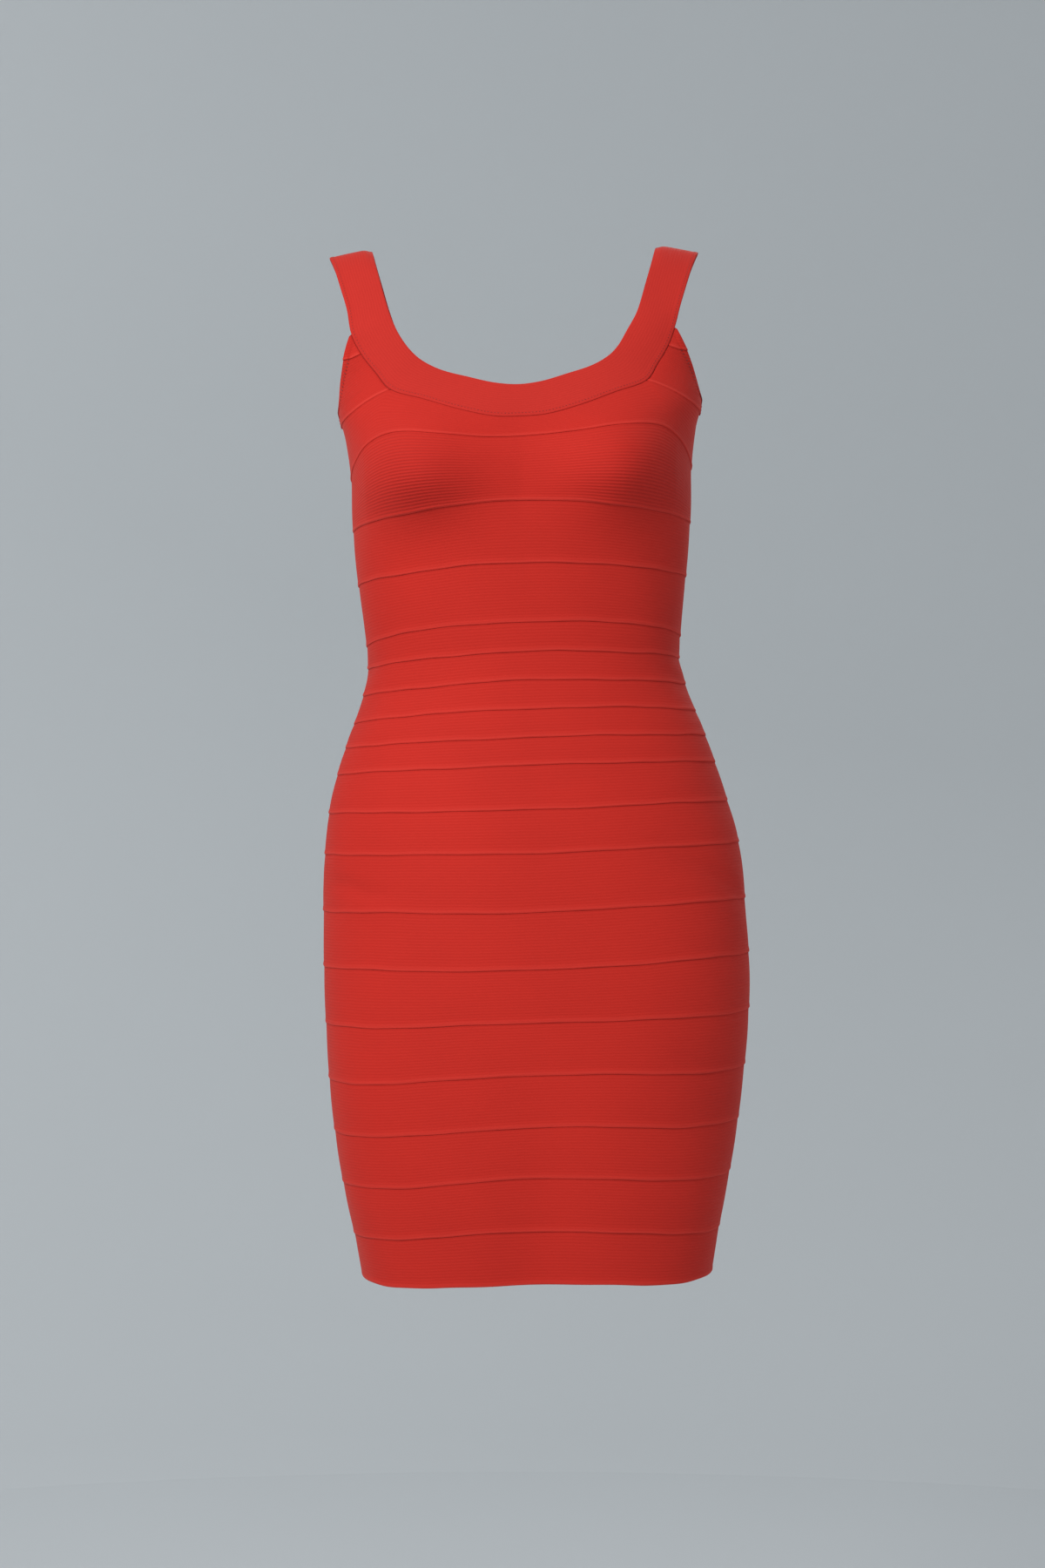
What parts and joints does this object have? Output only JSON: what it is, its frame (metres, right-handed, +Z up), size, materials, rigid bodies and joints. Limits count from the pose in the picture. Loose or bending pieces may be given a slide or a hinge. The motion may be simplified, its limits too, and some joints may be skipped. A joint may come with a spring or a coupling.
{
  "type": "bodycon dress",
  "caption": "Short close-fitting dress of horizontal knit strips sewn edge to edge, with a wide scoop neckband that runs on into the shoulder straps.",
  "frame": {"origin": "midway between the tops of the two straps, level with the wearer's shoulders, where the dress is held", "axes": "+Z up, -Y towards the front of the dress, +X towards the wearer's left"},
  "size_m": [0.3329, 0.2324, 0.8062],
  "materials": {
    "strip_knit": "matt heavy elastic knit with fine crosswise ribs",
    "neckband_knit": "matt smooth heavy elastic knit"
  },
  "bodies": {
    "root": {"front_neckband": "neckband_knit", "front_bust_top_strip": "strip_knit", "front_right_shoulder_corner": "strip_knit", "front_right_armhole_strip": "strip_knit", "front_left_shoulder_corner": "strip_knit", "front_left_armhole_strip": "strip_knit", "front_strip_01": "strip_knit", "front_strip_02": "strip_knit", "front_strip_03": "strip_knit", "front_strip_04": "strip_knit", "front_strip_05": "strip_knit", "front_strip_06": "strip_knit", "front_strip_07": "strip_knit", "front_strip_08": "strip_knit", "front_strip_09": "strip_knit", "front_strip_10": "strip_knit", "front_strip_11": "strip_knit", "front_strip_12": "strip_knit", "front_strip_13": "strip_knit", "front_strip_14": "strip_knit", "front_strip_15": "strip_knit", "front_strip_16": "strip_knit", "front_strip_17": "strip_knit", "front_strip_18": "strip_knit", "back_neckband": "neckband_knit", "back_bust_top_strip": "strip_knit", "back_right_shoulder_corner": "strip_knit", "back_right_armhole_strip": "strip_knit", "back_left_shoulder_corner": "strip_knit", "back_left_armhole_strip": "strip_knit", "back_strip_01": "strip_knit", "back_strip_02": "strip_knit", "back_strip_03": "strip_knit", "back_strip_04": "strip_knit", "back_strip_05": "strip_knit", "back_strip_06": "strip_knit", "back_strip_07": "strip_knit", "back_strip_08": "strip_knit", "back_strip_09": "strip_knit", "back_strip_10": "strip_knit", "back_strip_11": "strip_knit", "back_strip_12": "strip_knit", "back_strip_13": "strip_knit", "back_strip_14": "strip_knit", "back_strip_15": "strip_knit", "back_strip_16": "strip_knit", "back_strip_17": "strip_knit", "back_strip_18": "strip_knit"}
  },
  "joints": []
}
